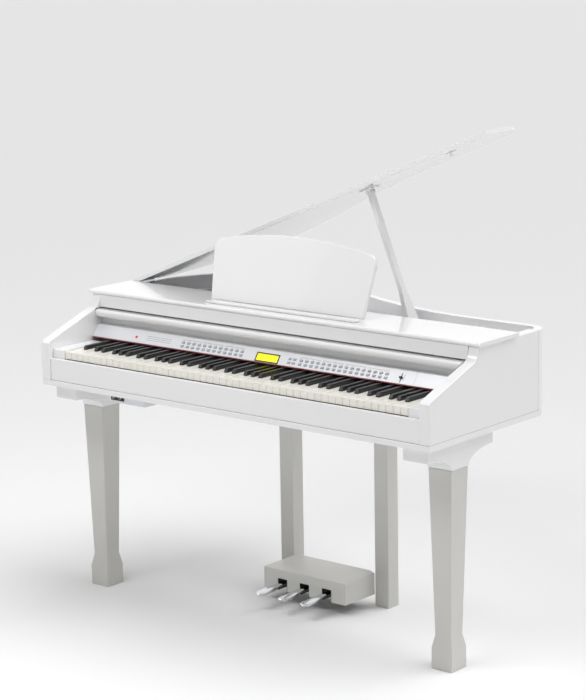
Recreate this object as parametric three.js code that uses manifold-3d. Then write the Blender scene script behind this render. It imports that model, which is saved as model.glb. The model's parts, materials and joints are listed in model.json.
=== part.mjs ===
// A small digital grand piano: a white lacquered cabinet with a propped lid, a sloped control
// panel, 88 keys, a folding music desk, a sliding key cover, two tapered legs and a pedal box
// between two rear posts. Millimetres, +Z up, +X to the player's right, -Y towards the player.
import * as THREE from 'three';
import { mergeVertices } from 'three/addons/utils/BufferGeometryUtils.js';
import { ConvexGeometry } from 'three/addons/geometries/ConvexGeometry.js';
import Module from 'manifold-3d';

const wasm = await Module();
wasm.setup();

// ---------------------------------------------------------------- driving dimensions

const gap = 0.4; // between pieces that rest on or beside each other
const caseHalf = 690; // middle to the outer face of a side panel
const sideThick = 32;
const rimThick = 22;
const bottomLevel = 627; // underside of the bottom board
const bottomThick = 16;
const rimTop = 861.6; // top edge of the side panels and the rim
const topThick = 12; // top board and lid
const topOverhang = 9;
const topFront = 207; // front edge of the top board
const lidFront = 388; // front edge of the lid
const straightDepth = 490; // where the side panels end and the rim begins
const rightBack = 548; // back of the rim at the short, treble end
const cornerRadius = 58;
const tailDepth = 800; // back of the rim at the bass end
const tailMiddle = -380; // across, where the tail is deepest
const bentsideEnd = 450; // across, where the bentside turns straight

const armFront = 749; // top of a side panel's front edge
const armSlopeStart = [5, 755]; // depth and height
const armSlopeEnd = [191, 822];
const armKick = [213, 830];

const keyPitch = 23.5;
const keyGap = 1;
const whiteCount = 52;
const whiteFront = 17;
const whiteTop = 729;
const keyHeight = 21;
const blackFront = 70;
const blackTop = 740;
const blackWidth = 11;
const blackClearance = 1.5;
const keyPivotY = 232;
const keyPivotZ = 716;
const keyRear = 238;

const panelFoot = [177, 744]; // bottom edge of the control panel: depth and height
const panelHead = [200, 776];
const panelThick = 3;
const panelSplit = 507; // across, where the end piece begins

const lidAngle = 22; // how far the lid stands open
const hingeX = -(caseHalf + 4.5); // lid hinge axis
const hingeBarrel = 4;
const propAlongLid = 915; // hinge axis to the prop, along the lid
const propDepth = 457; // middle of the prop, front to back
const propLength = 381.5; // prop pin to the end of the foot
const propThick = 13;
const propWidth = 20;
const propPinDrop = 12; // lid underside to the prop pin
const innerPanelTop = 820;
const innerPanelThick = 12;

const deskAxis = [283, rimTop + gap + topThick + 3.6]; // music desk hinge: depth and height
const deskTilt = 15;
const deskThick = 12;
const deskBackGap = 3.3; // hinge axis to the back of the desk
const deskHalfFoot = 272;
const deskHalfTop = 288;
const deskSide = 168;
const deskArch = 200;

const coverLevel = 817; // middle of the key cover when it is put away
const coverFront = 190;
const coverRodY = 380;
const coverRodRadius = 4;
const coverTravel = 181;
const coverRollerRadius = 4.6;
const coverGroove = 12; // depth of the groove in each side panel

const legHalf = 37;
const legX = 624;
const legY = 171;
const bracketWidth = 79;
const bracketFront = 28;
const bracketBack = 316;
const bracketEdge = 587; // underside of the bracket at its ends
const bracketFoot = 547; // where the bracket meets the leg

const postSide = 48;
const postX = 174;
const postFront = 468.5;
const boxHalf = 150;
const boxFront = 332;
const boxBack = 468;
const boxBottom = 35;
const boxShoulder = 98;
const boxTop = 104.4;
const boxWall = 12;
const pedalPitch = 81;
const pedalAxle = [430, 58];
const pedalTip = 222;
const pedalSlotHalf = 16.5;
const pedalSlotTop = 71;

// ---------------------------------------------------------------- materials

const finish = (color, roughness, metalness = 0) =>
  new THREE.MeshStandardMaterial({ color, roughness, metalness });
const lacquer = finish(0xf1f1f2, 0.12);
const chrome = finish(0xd5d7da, 0.15, 1);
const steel = finish(0x8d9094, 0.4, 1);
const keyWhite = finish(0xf4f1e6, 0.3);
const keyBlack = finish(0x17181a, 0.35);
const panelSilver = finish(0xe4e6e9, 0.4);
const buttonGrey = finish(0xb9bec4, 0.5);
const screenYellow = finish(0xf7ea18, 0.3);
const felt = finish(0xa3242c, 0.95);
const blackPlastic = finish(0x1c1c1e, 0.6);
const circuit = finish(0x2f6b45, 0.6);
const grillePlastic = finish(0x9fa4a6, 0.9);

// ---------------------------------------------------------------- shape helpers

function solid(geometry) {
  const bare = geometry.clone();
  bare.deleteAttribute('normal');
  bare.deleteAttribute('uv');
  const merged = mergeVertices(bare.index ? bare.toNonIndexed() : bare, 1e-4);
  return new wasm.Manifold(new wasm.Mesh({
    numProp: 3,
    vertProperties: new Float32Array(merged.attributes.position.array),
    triVerts: new Uint32Array(merged.index.array),
  }));
}

function geometryOf(manifold) {
  const mesh = manifold.getMesh();
  const geometry = new THREE.BufferGeometry();
  geometry.setAttribute('position', new THREE.BufferAttribute(mesh.vertProperties, 3));
  geometry.setIndex(new THREE.BufferAttribute(mesh.triVerts, 1));
  return geometry;
}

const joined = (...parts) => geometryOf(parts.map(solid).reduce((sum, part) => sum.add(part)));
const cut = (base, ...tools) =>
  geometryOf(tools.map(solid).reduce((rest, tool) => rest.subtract(tool), solid(base)));

function box(x0, x1, y0, y1, z0, z1) {
  return new THREE.BoxGeometry(x1 - x0, y1 - y0, z1 - z0)
    .translate((x0 + x1) / 2, (y0 + y1) / 2, (z0 + z1) / 2);
}

const shapeOf = (points) => new THREE.Shape(points.map(([u, v]) => new THREE.Vector2(u, v)));

/** A flat outline in plan, from one height to another. */
function slab(shape, z0, z1) {
  return new THREE.ExtrudeGeometry(shape, { depth: z1 - z0, bevelEnabled: false, curveSegments: 10 })
    .translate(0, 0, z0);
}

/** An outline of depth and height, run across from x0 to x1. */
function across(shape, x0, x1) {
  const toSide = new THREE.Matrix4().makeBasis(
    new THREE.Vector3(0, 1, 0), new THREE.Vector3(0, 0, 1), new THREE.Vector3(1, 0, 0));
  return new THREE.ExtrudeGeometry(shape, { depth: x1 - x0, bevelEnabled: false, curveSegments: 10 })
    .applyMatrix4(toSide).translate(x0, 0, 0);
}

/** An outline of across and height, run forwards from y1 to y0. */
function forward(shape, y0, y1) {
  const toFront = new THREE.Matrix4().makeBasis(
    new THREE.Vector3(1, 0, 0), new THREE.Vector3(0, 0, 1), new THREE.Vector3(0, -1, 0));
  return new THREE.ExtrudeGeometry(shape, { depth: y1 - y0, bevelEnabled: false, curveSegments: 10 })
    .applyMatrix4(toFront).translate(0, y1, 0);
}

const rodAlongX = (radius, x0, x1, y, z, sides = 16) =>
  new THREE.CylinderGeometry(radius, radius, x1 - x0, sides)
    .rotateZ(Math.PI / 2).translate((x0 + x1) / 2, y, z);
const rodAlongY = (radius, y0, y1, x, z, sides = 16) =>
  new THREE.CylinderGeometry(radius, radius, y1 - y0, sides).translate(x, (y0 + y1) / 2, z);
const rodAlongZ = (radius, z0, z1, x, y, sides = 16) =>
  new THREE.CylinderGeometry(radius, radius, z1 - z0, sides)
    .rotateX(Math.PI / 2).translate(x, y, (z0 + z1) / 2);

function mesh(name, geometry, material, parent) {
  const part = new THREE.Mesh(geometry, material);
  part.name = name;
  parent.add(part);
  return part;
}

// ---------------------------------------------------------------- plan outline of the cabinet

/** The back of the cabinet from the treble corner to the bass side, moved out by offset. */
function backCurve(offset) {
  const points = [];
  const corner = cornerRadius + offset;
  const cornerSteps = 8;
  for (let i = 0; i <= cornerSteps; i += 1) {
    const turn = (i / cornerSteps) * (Math.PI / 2);
    points.push([
      caseHalf - cornerRadius + corner * Math.cos(turn),
      straightDepth + corner * Math.sin(turn),
    ]);
  }
  const bentside = new THREE.CubicBezierCurve(
    new THREE.Vector2(bentsideEnd, rightBack),
    new THREE.Vector2(bentsideEnd - 380, rightBack),
    new THREE.Vector2(tailMiddle + 200, tailDepth),
    new THREE.Vector2(tailMiddle, tailDepth));
  const bentsideSteps = 22;
  for (let i = 0; i < bentsideSteps; i += 1) {
    const at = bentside.getPoint(i / bentsideSteps);
    const along = bentside.getTangent(i / bentsideSteps);
    points.push([at.x + along.y * offset, at.y - along.x * offset]);
  }
  const tailSteps = 18;
  for (let i = 0; i <= tailSteps; i += 1) {
    const turn = (i / tailSteps) * (Math.PI / 2);
    points.push([
      tailMiddle - (caseHalf + tailMiddle + offset) * Math.sin(turn),
      straightDepth + (tailDepth - straightDepth + offset) * Math.cos(turn),
    ]);
  }
  return points;
}

// ---------------------------------------------------------------- cabinet

const piano = new THREE.Group();
const cabinet = new THREE.Group();
cabinet.position.y = -(tailDepth + topOverhang) / 2;
piano.add(cabinet);

const bottomTop = bottomLevel + bottomThick;
const innerHalf = caseHalf - sideThick - gap; // pieces that fit between the side panels
const speakerX = 400;
const speakerY = 400;
const speakerHole = 64;

function bottomBoard() {
  const outline = shapeOf([[-caseHalf, 0], [caseHalf, 0], ...backCurve(0)]);
  for (const x of [-speakerX, speakerX]) {
    const hole = new THREE.Path();
    hole.absarc(x, speakerY, speakerHole, 0, Math.PI * 2, true);
    outline.holes.push(hole);
  }
  return slab(outline, bottomLevel, bottomTop);
}

const leafWidth = 28;
const leafThick = 1.5;
const lidHinge = [396, 484]; // front and back end of the lid hinge
const lidUnderside = rimTop + gap;

const coverRun = [ // front and back end of the groove for the key cover's rollers
  coverRodY - coverTravel - coverRollerRadius - gap, coverRodY + coverRollerRadius + 8];

function sidePanel(side) {
  const profile = new THREE.Shape();
  profile.moveTo(0, bottomTop + gap);
  profile.lineTo(straightDepth - gap, bottomTop + gap);
  profile.lineTo(straightDepth - gap, rimTop);
  profile.lineTo(topFront + 8, rimTop);
  profile.quadraticCurveTo(armKick[0], armKick[1], armSlopeEnd[0], armSlopeEnd[1]);
  profile.lineTo(armSlopeStart[0], armSlopeStart[1]);
  profile.lineTo(0, armFront);
  const inner = caseHalf - sideThick;
  const grooveX = [side * (inner - 1), side * (inner + coverGroove)].sort((a, b) => a - b);
  const panel = cut(
    across(profile, side < 0 ? -caseHalf : inner, side < 0 ? -inner : caseHalf),
    box(...grooveX, ...coverRun, coverLevel - 10, coverLevel + coverRollerRadius + 0.6));
  if (side > 0) return panel;
  return cut(panel, box(
    -caseHalf - 1, hingeX + leafWidth + gap, lidHinge[0] - gap, lidHinge[1] + gap,
    rimTop - leafThick - gap, rimTop + 1));
}

function rearRim() {
  const outline = shapeOf([...backCurve(0), ...backCurve(-rimThick).reverse()]);
  return slab(outline, bottomTop + gap, rimTop);
}

function topBoard() {
  const nose = topThick / 2;
  const profile = new THREE.Shape();
  profile.moveTo(topFront + nose, lidUnderside);
  profile.lineTo(lidFront - 1.5, lidUnderside);
  profile.lineTo(lidFront - 1.5, lidUnderside + topThick);
  profile.lineTo(topFront + nose, lidUnderside + topThick);
  profile.absarc(topFront + nose, lidUnderside + nose, nose, Math.PI / 2, Math.PI * 1.5, false);
  return across(profile, -caseHalf - topOverhang, caseHalf + topOverhang);
}

const catchX = 548;
const catchY = 418;
const catchHalf = [17, 8]; // across and deep
const catchRise = 7; // how far its two jaws stand up into the lid's pocket
const pocketDepth = catchRise + 2;
const catchPinRadius = 4;
const catchHole = 6.5;
const railFront = 372;
const railStep = 395;
const railBack = 430;
const railThick = 20;

/** The rail that the lid's front edge and the top board's back edge rest on. */
function lidRail() {
  const profile = shapeOf([
    [railStep, innerPanelTop + gap], [railBack, innerPanelTop + gap], [railBack, rimTop],
    [railFront, rimTop], [railFront, rimTop - railThick], [railStep, rimTop - railThick],
  ]);
  return cut(
    across(profile, -innerHalf, innerHalf),
    rodAlongZ(catchHole, rimTop - 18, rimTop + 1, catchX, catchY),
    box(
      catchX - catchHalf[0] - gap, catchX + catchHalf[0] + gap,
      catchY - catchHalf[1] - gap, catchY + catchHalf[1] + gap, rimTop - 2.4, rimTop + 1));
}

const footRestX = hingeX + propAlongLid * Math.cos(THREE.MathUtils.degToRad(lidAngle))
  + (propPinDrop + propLength) * Math.sin(THREE.MathUtils.degToRad(lidAngle));
const footRestZ = lidUnderside + propAlongLid * Math.sin(THREE.MathUtils.degToRad(lidAngle))
  - (propPinDrop + propLength) * Math.cos(THREE.MathUtils.degToRad(lidAngle));
const footHalf = 22;
const grilles = [ // left, right, front and back
  [-caseHalf + 100, -caseHalf + 290, 450, 610],
  [footRestX - 240, footRestX - 80, 445, 540],
];
const grilleLip = 8;

/** The panel under the lid, with a channel that the prop's foot dips into as it folds. */
function innerPanel() {
  const inside = backCurve(-rimThick - gap)
    .map(([x, y]) => [THREE.MathUtils.clamp(x, -innerHalf, innerHalf), y]);
  const outline = shapeOf([[-innerHalf, railStep], [innerHalf, railStep], ...inside]);
  const low = innerPanelTop - innerPanelThick;
  const channel = box(
    footRestX + 37, hingeX + propAlongLid + propLength + 20,
    propDepth - footHalf - 4, propDepth + footHalf + 4, low - 1, innerPanelTop + 1);
  const windows = grilles.map(([x0, x1, y0, y1]) => box(
    x0 + grilleLip, x1 - grilleLip, y0 + grilleLip, y1 - grilleLip, low - 1, innerPanelTop + 1));
  return cut(slab(outline, low, innerPanelTop), channel, ...windows);
}

/** The block that the prop's foot stands on: its top falls away so that the foot can slide off. */
function propRest() {
  const cornerX = footRestX - (propThick / 2) * Math.cos(THREE.MathUtils.degToRad(lidAngle));
  const cornerZ = footRestZ - (propThick / 2) * Math.sin(THREE.MathUtils.degToRad(lidAngle)) - 0.9;
  const fall = Math.tan(THREE.MathUtils.degToRad(16));
  const length = 30;
  return forward(shapeOf([
    [cornerX - 12, innerPanelTop + gap], [cornerX + length, innerPanelTop + gap],
    [cornerX + length, cornerZ - length * fall], [cornerX, cornerZ], [cornerX - 12, cornerZ],
  ]), propDepth - footHalf, propDepth + footHalf);
}

function grille([x0, x1, y0, y1]) {
  return box(x0, x1, y0, y1, innerPanelTop + gap, innerPanelTop + 3);
}

mesh('bottom_board', bottomBoard(), lacquer, cabinet);
mesh('left_side_panel', sidePanel(-1), lacquer, cabinet);
mesh('right_side_panel', sidePanel(1), lacquer, cabinet);
mesh('rear_rim', rearRim(), lacquer, cabinet);
mesh('top_board', topBoard(), lacquer, cabinet);
mesh('lid_rail', lidRail(), lacquer, cabinet);
mesh('inner_panel', innerPanel(), lacquer, cabinet);
mesh('left_grille', grille(grilles[0]), grillePlastic, cabinet);
mesh('right_grille', grille(grilles[1]), grillePlastic, cabinet);
mesh('prop_rest', propRest(), lacquer, cabinet);

/** A plate with two jaws that the lid's pin drops between. */
function catchPlate() {
  const [half, deep] = catchHalf;
  const low = rimTop - 2;
  const jaws = [-1, 1].map((side) => rodAlongY(
    4, catchY - deep + 1, catchY + deep - 1, catchX + side * (half - 6), rimTop + catchRise - 4));
  return cut(joined(
    box(catchX - half, catchX + half, catchY - deep, catchY + deep, low, rimTop - 0.1), ...jaws,
    box(catchX - half + 2, catchX - 7, catchY - deep + 1, catchY + deep - 1, low, rimTop + catchRise - 4),
    box(catchX + 7, catchX + half - 2, catchY - deep + 1, catchY + deep - 1, low, rimTop + catchRise - 4)),
  rodAlongZ(catchHole - 0.5, rimTop - 3, rimTop + 20, catchX, catchY));
}
mesh('catch_plate', catchPlate(), chrome, cabinet);

// ---------------------------------------------------------------- front of the cabinet

const nameBoardFront = 212;
const nameBoardFoot = 825;
const recessBack = 222;
const recessTop = 797;

mesh('key_slip', box(-innerHalf, innerHalf, 3, 15, bottomTop + gap, 707), lacquer, cabinet);
mesh('name_board', box(
  -innerHalf, innerHalf, nameBoardFront, nameBoardFront + 12, nameBoardFoot, rimTop), lacquer, cabinet);
const keyBlockInner = (whiteCount * keyPitch) / 2 + 1.5;
for (const [name, side] of [['left_key_block', -1], ['right_key_block', 1]]) {
  const ends = [side * keyBlockInner, side * innerHalf].sort((a, b) => a - b);
  mesh(name, box(ends[0], ends[1], whiteFront - 1.5, panelFoot[0] - 4, bottomTop + gap, whiteTop + 3),
    lacquer, cabinet);
}
mesh('panel_shelf', across(shapeOf([
  [panelHead[0] + 3, panelHead[1] - 4], [recessBack + 6, panelHead[1] - 4], [recessBack + 6, recessTop],
  [recessBack, recessTop], [recessBack, panelHead[1] - 0.8], [panelHead[0] + 3, panelHead[1] - 0.8],
]), -innerHalf, innerHalf), lacquer, cabinet);
mesh('felt_strip', box(
  -innerHalf + 2, innerHalf - 2, panelFoot[0] - 2.4, panelFoot[0] - gap, blackTop + 1, panelFoot[1] - 1),
felt, cabinet);

// ---------------------------------------------------------------- control panel

const panelRise = Math.atan2(panelHead[1] - panelFoot[1], panelHead[0] - panelFoot[0]);
const panelLength = Math.hypot(panelHead[0] - panelFoot[0], panelHead[1] - panelFoot[1]) - 0.6;
const slope = new THREE.Group(); // x across, y up the panel, z out of it
slope.position.set(0, panelFoot[0], panelFoot[1]);
slope.rotation.x = panelRise;
cabinet.add(slope);

const buttonWide = 10;
const buttonHigh = 5.5;
const buttonPlay = 0.5;
const buttonRows = [10.5, 22];
const leftColumns = Array.from({ length: 12 }, (_, i) => -310 + i * 20);
const rightColumns = Array.from({ length: 16 }, (_, i) => 121 + i * 19.5);
const cursorColumns = [82, 98];
const screen = [-34, 42, 4, 25];
const powerX = -490;
const powerRadius = 4;
const volumeX = 462;
const volumeTravel = 10;
const rowMiddle = 17;

const buttonSpots = (columns) => columns.flatMap((x) => buttonRows.map((y) => [x, y]));
const button = ([x, y], grow, z0, z1) => box(
  x - buttonWide / 2 - grow, x + buttonWide / 2 + grow,
  y - buttonHigh / 2 - grow, y + buttonHigh / 2 + grow, z0, z1);
const buttonSets = [
  ['left_buttons', buttonSpots(leftColumns)],
  ['cursor_buttons', buttonSpots(cursorColumns)],
  ['right_buttons', buttonSpots(rightColumns)],
];

const panelHoles = buttonSets.flatMap(([, spots]) =>
  spots.map((spot) => button(spot, buttonPlay, -panelThick - 1, 1)));
mesh('control_panel', cut(
  box(-innerHalf, panelSplit, 0, panelLength, -panelThick, 0),
  box(screen[0] - gap, screen[1] + gap, screen[2] - gap, screen[3] + gap, -panelThick - 1, 1),
  rodAlongZ(powerRadius + buttonPlay, -panelThick - 1, 1, powerX, rowMiddle),
  box(volumeX - 1.5, volumeX + 1.5, rowMiddle - volumeTravel - 3, rowMiddle + volumeTravel + 3,
    -panelThick - 1, 1),
  ...panelHoles), panelSilver, slope);
mesh('panel_end', box(panelSplit + 0.6, innerHalf, 0, panelLength, -panelThick, 0), panelSilver, slope);
const matDepth = [-panelThick - 3.4, -panelThick - 1.4]; // the rubber mat that joins a set of buttons
for (const [name, spots] of buttonSets) {
  const x = spots.map((spot) => spot[0]);
  const mat = box(
    Math.min(...x) - buttonWide / 2 - 1, Math.max(...x) + buttonWide / 2 + 1,
    buttonRows[0] - buttonHigh, buttonRows[1] + buttonHigh, ...matDepth);
  mesh(name, joined(mat, ...spots.map((spot) => button(spot, 0, matDepth[0] + 1, 1.6))), buttonGrey, slope);
}
mesh('power_button', rodAlongZ(powerRadius, -panelThick + 0.5, 1.6, powerX, rowMiddle), felt, slope);
mesh('volume_slider', joined(
  box(volumeX - 4.5, volumeX + 4.5, rowMiddle - 2.5, rowMiddle + 2.5, 0.4, 5),
  box(volumeX - 1, volumeX + 1, rowMiddle - 2, rowMiddle + 2, -panelThick - 2, 1)), blackPlastic, slope);
mesh('display_window', box(screen[0], screen[1], screen[2], screen[3], -panelThick, -0.3),
  screenYellow, slope);

// ---------------------------------------------------------------- keys

const hasBlackAfter = (i) => i < whiteCount - 1 && [0, 1, 3, 4, 5].includes((i + 5) % 7);
const blackShift = [-2.3, 2.3, 0, -2.6, 0, 2.6]; // by the note to the left, C first
const keyboardLeft = -(whiteCount * keyPitch) / 2;
const blackMiddle = (i) => keyboardLeft + (i + 1) * keyPitch + blackShift[(i + 5) % 7];

function whiteKey(i) {
  const left = keyboardLeft + i * keyPitch + keyGap / 2;
  const right = left + keyPitch - keyGap;
  const reach = blackWidth / 2 + blackClearance;
  const notch = blackFront - blackClearance;
  const narrowLeft = i > 0 && hasBlackAfter(i - 1) ? blackMiddle(i - 1) + reach : left;
  const narrowRight = hasBlackAfter(i) ? blackMiddle(i) - reach : right;
  const points = [[left, whiteFront], [right, whiteFront], [right, notch]];
  if (narrowRight < right) points.push([narrowRight, notch]);
  points.push([narrowRight, keyRear], [narrowLeft, keyRear]);
  if (narrowLeft > left) points.push([narrowLeft, notch]);
  points.push([left, notch]);
  const outline = points.filter(([x, y], k) => k === 0 || x !== points[k - 1][0] || y !== points[k - 1][1]);
  return slab(shapeOf(outline), whiteTop - keyHeight, whiteTop);
}

function blackKey(i) {
  const middle = blackMiddle(i);
  return across(shapeOf([
    [blackFront, whiteTop - keyHeight + 5], [keyRear, whiteTop - keyHeight + 5],
    [keyRear, blackTop - 1], [blackFront + 6, blackTop], [blackFront + 1, whiteTop + 3],
  ]), middle - blackWidth / 2, middle + blackWidth / 2);
}

const whiteIndices = Array.from({ length: whiteCount }, (_, i) => i);
const blackIndices = whiteIndices.filter(hasBlackAfter);
const keyBarFront = keyRear - 8;
const whiteBar = box( // joins the white keys under the black ones
  keyboardLeft + keyGap, -keyboardLeft - keyGap, keyBarFront, keyRear,
  whiteTop - keyHeight, whiteTop - keyHeight + 3);
const blackBar = box( // joins the black keys over the white ones
  blackMiddle(blackIndices[0]), blackMiddle(blackIndices.at(-1)), keyBarFront, keyRear,
  whiteTop + 2, blackTop - 2);
mesh('white_keys', joined(whiteBar, ...whiteIndices.map(whiteKey)), keyWhite, cabinet);
mesh('black_keys', joined(blackBar, ...blackIndices.map(blackKey)), keyBlack, cabinet);
mesh('key_frame', across(shapeOf([
  [whiteFront + 6, bottomTop + gap], [keyRear + 12, bottomTop + gap], [keyRear + 12, keyPivotZ],
  [keyRear + 2, keyPivotZ], [keyRear + 2, whiteTop - keyHeight - 12],
  [keyPivotY - 40, whiteTop - keyHeight - 12], [keyPivotY - 50, 665], [whiteFront + 40, 665],
  [whiteFront + 35, 690], [whiteFront + 6, 690],
]), -keyBlockInner + 2, keyBlockInner - 2), blackPlastic, cabinet);

// ---------------------------------------------------------------- sliding key cover

const coverHalf = innerHalf - 2;
const coverTop = coverLevel + 4;
const coverThick = 8;
const eyeHalf = 15;

function keyCover() {
  const lipFoot = coverTop - 21;
  const lipBack = coverFront + 18;
  const profile = new THREE.Shape();
  profile.moveTo(coverFront + 4, lipFoot);
  profile.lineTo(lipBack, lipFoot);
  profile.lineTo(lipBack, coverTop - coverThick);
  profile.lineTo(coverRodY - coverRodRadius - 3, coverTop - coverThick);
  profile.lineTo(coverRodY - coverRodRadius - 3, coverTop);
  profile.lineTo(coverFront + 7, coverTop);
  profile.quadraticCurveTo(coverFront, coverTop - 2, coverFront, coverTop - 10);
  profile.quadraticCurveTo(coverFront, lipFoot + 3, coverFront + 4, lipFoot);
  const eyes = [-420, 0, 420].map((x) => joined(
    rodAlongX(coverRodRadius + 3, x - eyeHalf, x + eyeHalf, coverRodY, coverLevel),
    box(x - eyeHalf, x + eyeHalf, coverRodY - coverRodRadius - 8, coverRodY, coverLevel - 3, coverLevel + 3)));
  return cut(
    joined(across(profile, -coverHalf, coverHalf), ...eyes),
    rodAlongX(coverRodRadius + 0.5, -coverHalf - 1, coverHalf + 1, coverRodY, coverLevel));
}

/** The rail in the side panel's groove that a roller runs on. */
function coverGuide(side) {
  const inner = caseHalf - sideThick;
  const x = [side * (inner + gap), side * (inner + coverGroove - gap)].sort((a, b) => a - b);
  return box(
    ...x, coverRun[0] + gap, coverRun[1] - gap,
    coverLevel - 10 + gap, coverLevel - coverRollerRadius - gap);
}

mesh('key_cover', keyCover(), lacquer, cabinet);
const rollerEnd = caseHalf - sideThick + coverGroove - 1;
mesh('cover_rod', joined(
  rodAlongX(coverRodRadius, -rollerEnd, rollerEnd, coverRodY, coverLevel),
  rodAlongX(coverRollerRadius, -rollerEnd, -coverHalf - 1, coverRodY, coverLevel),
  rodAlongX(coverRollerRadius, coverHalf + 1, rollerEnd, coverRodY, coverLevel)), steel, cabinet);
mesh('left_cover_guide', coverGuide(-1), steel, cabinet);
mesh('right_cover_guide', coverGuide(1), steel, cabinet);

// ---------------------------------------------------------------- hinges

const knuckles = 5;
const knuckleEnds = (i, [y0, y1], inset) => [
  y0 + ((y1 - y0) * i) / knuckles + inset, y0 + ((y1 - y0) * (i + 1)) / knuckles - inset];

/** Half of a piano hinge about Y: a leaf with every other knuckle. */
function hingeHalf(ends, first, radius, leaf, inset) {
  const parts = [box(radius + 0.4, leaf.reach, ends[0], ends[1], leaf.z0, leaf.z1)];
  for (let i = first; i < knuckles; i += 2) {
    const [y0, y1] = knuckleEnds(i, ends, inset);
    parts.push(rodAlongY(radius, y0, y1, 0, 0), box(0, radius + 1, y0, y1, leaf.z0, leaf.z1));
  }
  return joined(...parts);
}

/** The fixed half holds the pin, and the moving half is bored for it. */
const fixedHalf = (ends, radius, leaf) => joined(
  hingeHalf(ends, 0, radius, leaf, 0), rodAlongY(radius * 0.45, ends[0] + 1, ends[1] - 1, 0, 0));
const movingHalf = (ends, radius, leaf) => cut(
  hingeHalf(ends, 1, radius, leaf, 0.4), rodAlongY(radius * 0.45 + 0.5, ends[0] - 1, ends[1] + 1, 0, 0));

const hingeLine = new THREE.Group();
hingeLine.position.set(hingeX, 0, lidUnderside);
cabinet.add(hingeLine);
mesh('lid_hinge_case_leaf', fixedHalf(
  lidHinge, hingeBarrel, { reach: leafWidth, z0: -gap - leafThick, z1: -gap }), chrome, hingeLine);

// ---------------------------------------------------------------- lid, prop and catch

const lidFrame = new THREE.Group(); // origin on the hinge axis, x along the lid
lidFrame.rotation.y = THREE.MathUtils.degToRad(-lidAngle);
hingeLine.add(lidFrame);

function lid() {
  const outline = [[-caseHalf, lidFront], [caseHalf + topOverhang, lidFront], ...backCurve(topOverhang)]
    .map(([x, y]) => [Math.max(x, -caseHalf) - hingeX, y]);
  const rebate = box(0, leafWidth + gap, lidHinge[0] - gap, lidHinge[1] + gap, -1, leafThick + gap);
  const along = catchX - hingeX;
  const pocket = box(
    along - catchHalf[0] - 2, along + catchHalf[0] + 2,
    catchY - catchHalf[1] - 2, catchY + catchHalf[1] + 2, -1, pocketDepth);
  return cut(slab(shapeOf(outline), 0, topThick), rebate, pocket);
}

mesh('lid', lid(), lacquer, lidFrame);
mesh('lid_hinge_lid_leaf', movingHalf(
  lidHinge, hingeBarrel, { reach: leafWidth, z0: 0, z1: leafThick }), chrome, lidFrame);
mesh('lid_catch_pin', joined(
  box(
    catchX - hingeX - 14, catchX - hingeX + 14, catchY - 7, catchY + 7,
    pocketDepth - gap - 1.6, pocketDepth - gap),
  rodAlongZ(catchPinRadius, -12, pocketDepth - 1, catchX - hingeX, catchY)), chrome, lidFrame);

const propFrame = new THREE.Group(); // origin on the prop pin
propFrame.position.set(propAlongLid, propDepth, -propPinDrop);
lidFrame.add(propFrame);
const pinRadius = 3;
const earInner = propWidth / 2 + 0.6;
const earThick = 2.4;
const ears = [-1, 1].map((side) => {
  const y = [side * earInner, side * (earInner + earThick)].sort((a, b) => a - b);
  return joined(
    box(-7, 7, y[0], y[1], 0, propPinDrop - 1),
    rodAlongY(7, y[0], y[1], 0, 0));
});
mesh('prop_bracket', joined(
  box(-24, 24, -21, 21, propPinDrop - gap - 2, propPinDrop - gap),
  rodAlongY(pinRadius, -earInner - earThick - 2, earInner + earThick + 2, 0, 0),
  ...ears), chrome, propFrame);

/** The prop stick: square in section, with a foot that widens front to back. */
function propStick() {
  const half = propWidth / 2;
  const outline = shapeOf([
    [-footHalf, -propLength], [footHalf, -propLength], [footHalf - 5, 62 - propLength],
    [half, 100 - propLength], [half, 0], [-half, 0], [-half, 100 - propLength],
    [-footHalf + 5, 62 - propLength],
  ]);
  const stick = across(outline, -propThick / 2, propThick / 2);
  const head = rodAlongY(propThick / 2, -half, half, 0, 0);
  return cut(joined(stick, head), rodAlongY(pinRadius + 0.5, -half - 1, half + 1, 0, 0));
}
mesh('prop_stick', propStick(), lacquer, propFrame);

// ---------------------------------------------------------------- music desk

const deskHinge = [-190, 190];
const deskLine = new THREE.Group();
deskLine.position.set(0, deskAxis[0], deskAxis[1]);
cabinet.add(deskLine);
const deskFrame = new THREE.Group();
deskFrame.rotation.x = THREE.MathUtils.degToRad(-deskTilt);
deskLine.add(deskFrame);
const deskBarrel = 3;

/** Turns a hinge about Y so that it runs along X with its leaf towards +Y. */
const alongX = (geometry) => geometry.rotateZ(Math.PI / 2);

mesh('desk_hinge_board_leaf', alongX(fixedHalf(
  deskHinge, deskBarrel, { reach: 22, z0: -3.2, z1: -1.8 })), chrome, deskLine);
mesh('desk_hinge_desk_leaf', alongX(movingHalf(
  deskHinge, deskBarrel, { reach: 22, z0: 1.8, z1: 2.9 })).rotateX(Math.PI / 2), chrome, deskFrame);

function musicDesk() {
  const shape = new THREE.Shape();
  shape.moveTo(-deskHalfFoot, -2);
  shape.lineTo(deskHalfFoot, -2);
  shape.lineTo(deskHalfTop, deskSide - 30);
  shape.quadraticCurveTo(deskHalfTop + 3, deskSide + 2, deskHalfTop - 28, deskSide + 8);
  shape.quadraticCurveTo(0, 2 * deskArch - deskSide - 8, -deskHalfTop + 28, deskSide + 8);
  shape.quadraticCurveTo(-deskHalfTop - 3, deskSide + 2, -deskHalfTop, deskSide - 30);
  return forward(shape, -deskBackGap - deskThick, -deskBackGap);
}
mesh('music_desk', musicDesk(), lacquer, deskFrame);

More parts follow.
